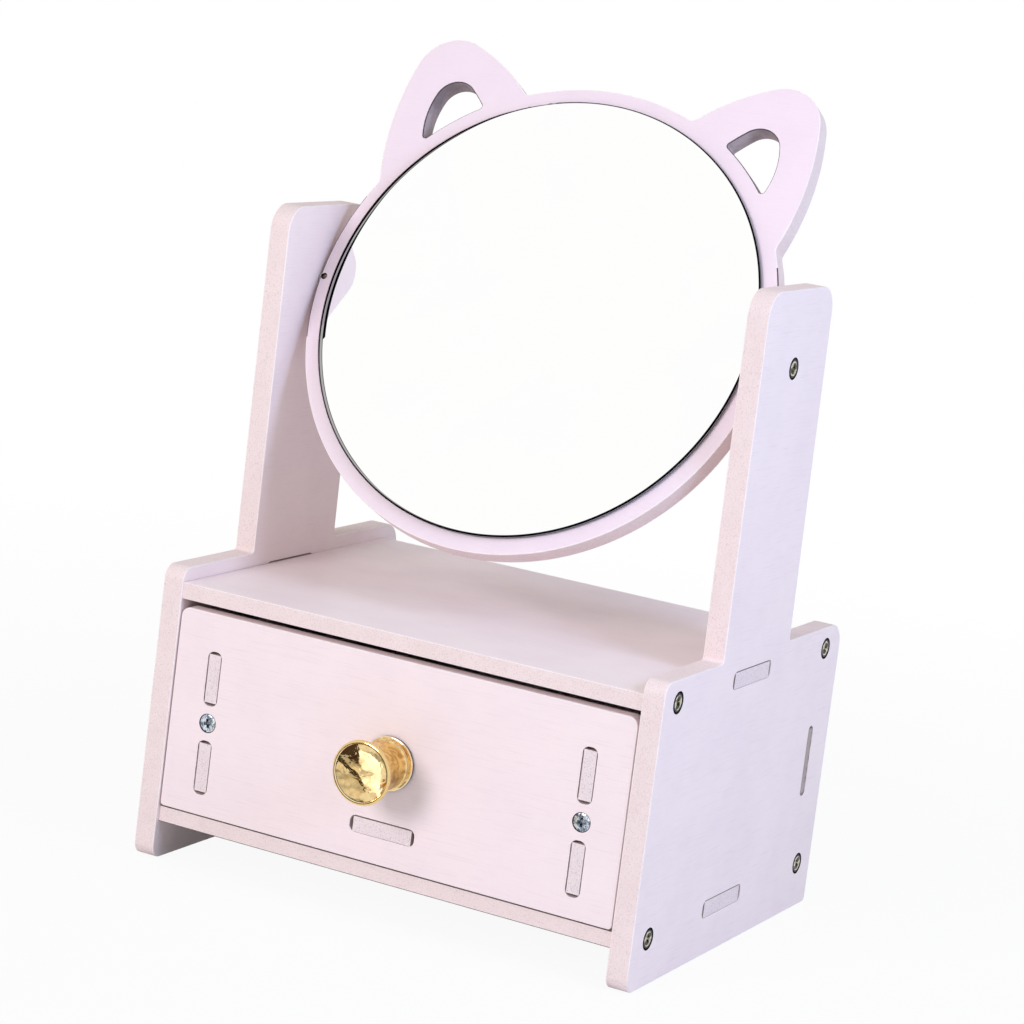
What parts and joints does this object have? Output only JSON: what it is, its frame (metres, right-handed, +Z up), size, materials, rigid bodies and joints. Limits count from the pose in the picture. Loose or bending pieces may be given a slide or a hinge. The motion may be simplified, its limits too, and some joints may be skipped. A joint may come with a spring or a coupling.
{
  "type": "vanity mirror with drawer",
  "caption": "Desk-top vanity mirror of slotted boards: a round mirror with cat ears tilts between posts above a low case with a pull-out drawer.",
  "frame": {"origin": "on the table, under the middle of the bounding box of the whole object with its drawer shut and the mirror tipped back", "axes": "+X across the case to the right as the user faces it, -Y out of the drawer's front, +Z up"},
  "size_m": [0.2, 0.175, 0.3029],
  "materials": {
    "board": "satin laminate on composite board",
    "case_screw": "nickel-plated",
    "drawer_screw": "zinc-plated",
    "knob": "polished",
    "mirror_glass": "silvered glass with a bevelled rim",
    "pad": "foam tape",
    "washer": "plain nylon",
    "lock_pin": "bright steel"
  },
  "bodies": {
    "case": {"side_panel_left": "board", "side_panel_right": "board", "shelf_board": "board", "bottom_board": "board", "back_panel": "board", "case_screws_left": "case_screw", "case_screws_right": "case_screw"},
    "drawer": {"drawer_front": "board", "drawer_side_left": "board", "drawer_side_right": "board", "drawer_back": "board", "drawer_bottom": "board", "drawer_screws_front": "drawer_screw", "drawer_screws_back": "drawer_screw", "drawer_knob": "knob", "knob_screw": "drawer_screw"},
    "mirror": {"mirror_frame": "board", "mirror_glass": "mirror_glass", "mirror_pad": "pad", "pivot_screw_left": "case_screw", "pivot_screw_right": "case_screw", "pivot_washer_left": "washer", "pivot_washer_right": "washer", "lock_pin_left": "lock_pin", "lock_pin_right": "lock_pin"}
  },
  "joints": [
    {"name": "drawer_slide", "type": "slide", "parent": "case", "child": "drawer", "axis": [0, -1, 0], "range_m": [0, 0.1]},
    {"name": "mirror_pivot", "type": "hinge", "parent": "case", "child": "mirror", "pos_m": [0, 0.0054, 0.2094], "axis": [1, 0, 0], "continuous": true}
  ]
}
